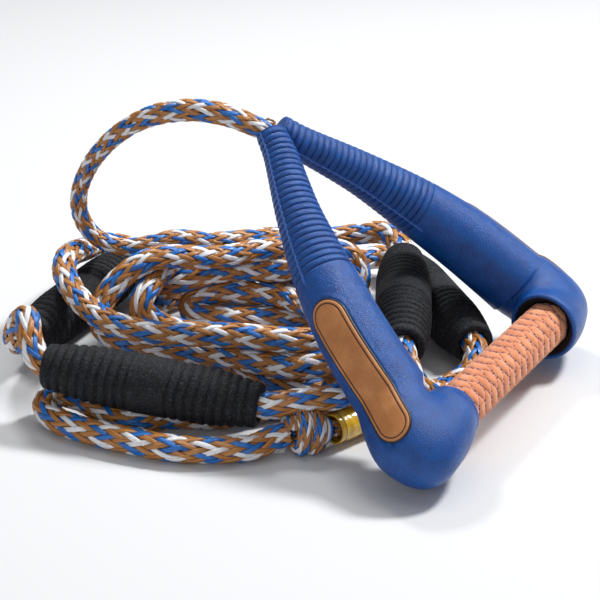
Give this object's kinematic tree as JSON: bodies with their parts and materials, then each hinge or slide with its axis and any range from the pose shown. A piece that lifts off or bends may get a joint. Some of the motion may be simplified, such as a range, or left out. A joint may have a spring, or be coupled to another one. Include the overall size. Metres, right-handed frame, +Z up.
{
  "type": "tow rope handle",
  "caption": "Triangular tow handle with moulded foam arms and a quilted grip bar, leaning on its heap of braided rope, with threaded foam floats, a stopper knot and a boat loop.",
  "frame": {"origin": "on the surface that the object lies on, under the centre of the handle's own box", "axes": "+Z up, +Y along the grip bar, +X from the apex of the handle towards the bar"},
  "size_m": [0.3872, 0.3741, 0.202],
  "materials": {
    "eva": "moulded closed-cell EVA with a fine leather grain, satin",
    "badge": "tan leather strap with a raised rim and a stitched groove",
    "liner": "black moulded nylon",
    "bridle": "braided high-modulus cord, off-white with tan yarns",
    "tube": "drawn tube, satin anodised",
    "grip_foam": "closed-cell foam sleeve",
    "suede": "quilted micro-suede with dotted stitching",
    "float_foam": "black closed-cell EVA, ribbed",
    "rope": "sixteen-carrier hollow braid in tan, white and cobalt blue",
    "loop_rope": "twisted loop of the same braid in tan, white and blue",
    "sleeve": "glossy yellow heat-shrink sleeve"
  },
  "bodies": {
    "rope": {"rope_lead": "rope", "rope_link": "rope", "rope_outer": "rope", "rope_bulge": "rope", "rope_front": "rope", "rope_tail": "rope", "boat_loop": "loop_rope", "rope_coil": "rope", "stopper_knot": "rope", "label_sleeve": "sleeve", "float_core_1": "rope", "float_core_2": "rope", "float_core_3": "rope", "float_core_4": "rope"},
    "handle": {"left_arm": "eva", "right_arm": "eva", "left_badge": "badge", "right_badge": "badge", "left_socket_liner": "liner", "right_socket_liner": "liner", "bridle_rope": "bridle", "bridle_eye": "bridle"},
    "grip": {"handle_tube": "tube", "grip_foam": "grip_foam", "grip_wrap": "suede", "left_tube_plug": "liner", "right_tube_plug": "liner"},
    "float_1": {"float_1": "float_foam"},
    "float_2": {"float_2": "float_foam"},
    "float_3": {"float_3": "float_foam"},
    "float_4": {"float_4": "float_foam"}
  },
  "joints": [
    {"name": "handle_lift", "type": "hinge", "parent": "rope", "child": "handle", "pos_m": [-0.09747, 0, 0.1778], "axis": [0, -1, 0], "range_deg": [0, 55]},
    {"name": "grip_turn", "type": "hinge", "parent": "handle", "child": "grip", "pos_m": [0.07952, 0, 0.03576], "axis": [0, 1, 0], "continuous": true},
    {"name": "float_1_spin", "type": "hinge", "parent": "rope", "child": "float_1", "pos_m": [-0.119, -0.144, 0.0375], "axis": [0.9668, 0.2417, -0.0827], "continuous": true},
    {"name": "float_2_spin", "type": "hinge", "parent": "rope", "child": "float_2", "pos_m": [-0.2615, -0.014, 0.02325], "axis": [0.0712, -0.9974, 0.0097], "continuous": true},
    {"name": "float_3_spin", "type": "hinge", "parent": "rope", "child": "float_3", "pos_m": [-0.0165, 0.041, 0.0495], "axis": [0.4309, -0.9023, -0.0135], "continuous": true},
    {"name": "float_4_spin", "type": "hinge", "parent": "rope", "child": "float_4", "pos_m": [-0.0205, 0.111, 0.0207], "axis": [0.7039, -0.7103, 0], "continuous": true}
  ]
}
